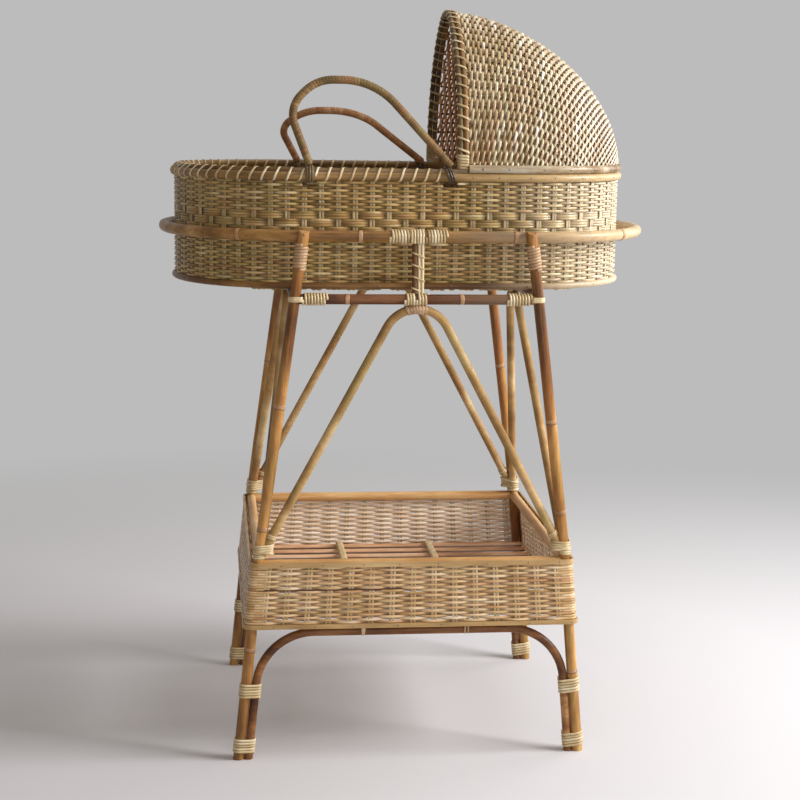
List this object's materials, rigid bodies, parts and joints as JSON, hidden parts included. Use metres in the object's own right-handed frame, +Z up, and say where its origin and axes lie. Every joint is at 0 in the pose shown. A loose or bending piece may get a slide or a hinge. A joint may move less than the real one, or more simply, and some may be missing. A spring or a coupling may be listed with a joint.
{
  "type": "moses basket with stand",
  "caption": "Hooded oval moses basket of woven cane with carry handles, resting in a lashed cane stand that holds a slatted storage tray.",
  "frame": {"origin": "centre of the stand's footprint on the floor", "axes": "+X along the basket towards the hood, -Y towards the front, +Z up"},
  "size_m": [0.8614, 0.534, 1.2752],
  "materials": {
    "stand_cane": "varnished honey-brown rattan poles",
    "rim_cane": "satin rattan hoops and handles",
    "binding_cane": "pale peeled cane strip",
    "basket_weave": "woven natural wicker",
    "hood_weave": "woven pale wicker",
    "tray_weave": "woven natural wicker",
    "loop_leather": "dark leather-like bands"
  },
  "bodies": {
    "stand": {"basket_ring": "stand_cane", "foot_bindings": "binding_cane", "front_brace": "stand_cane", "front_foot_bow": "stand_cane", "front_rail": "stand_cane", "front_strut": "stand_cane", "front_strut_canes": "binding_cane", "left_brace": "stand_cane", "left_rail": "stand_cane", "leg_front_left": "stand_cane", "leg_front_right": "stand_cane", "leg_rear_left": "stand_cane", "leg_rear_right": "stand_cane", "leg_top_bindings": "binding_cane", "rail_end_bindings": "binding_cane", "rear_brace": "stand_cane", "rear_foot_bow": "stand_cane", "rear_rail": "stand_cane", "rear_strut": "stand_cane", "rear_strut_canes": "binding_cane", "right_brace": "stand_cane", "right_rail": "stand_cane", "ring_centre_bindings": "binding_cane", "tray_bottom_band": "stand_cane", "tray_bottom_rails": "stand_cane", "tray_floor_bearers": "stand_cane", "tray_floor_slats": "stand_cane", "tray_floor_ties": "binding_cane", "tray_front_rail": "stand_cane", "tray_left_rail": "stand_cane", "tray_rear_rail": "stand_cane", "tray_right_rail": "stand_cane", "tray_top_band": "stand_cane", "tray_wall": "tray_weave"},
    "basket": {"basket_wall": "basket_weave", "basket_floor": "basket_weave", "base_rim": "rim_cane", "rim_outer_hoop": "rim_cane", "rim_inner_hoop": "rim_cane", "hood_shell": "hood_weave", "hood_rail": "rim_cane", "hood_arch_front": "rim_cane", "hood_arch_rear": "rim_cane"},
    "front_carry_handle": {"front_handle": "rim_cane", "front_handle_loops": "loop_leather"},
    "rear_carry_handle": {"rear_handle": "rim_cane", "rear_handle_loops": "loop_leather"}
  },
  "joints": [
    {"name": "basket_lift", "type": "slide", "parent": "stand", "child": "basket", "axis": [0, 0, 1], "range_m": [0, 0.2]},
    {"name": "front_handle_swing", "type": "hinge", "parent": "basket", "child": "front_carry_handle", "pos_m": [0, -0.206, 0.99565], "axis": [1, 0, 0], "range_deg": [-100, 110]},
    {"name": "rear_handle_swing", "type": "hinge", "parent": "basket", "child": "rear_carry_handle", "pos_m": [0, 0.206, 0.99565], "axis": [1, 0, 0], "range_deg": [-158, 52]}
  ]
}
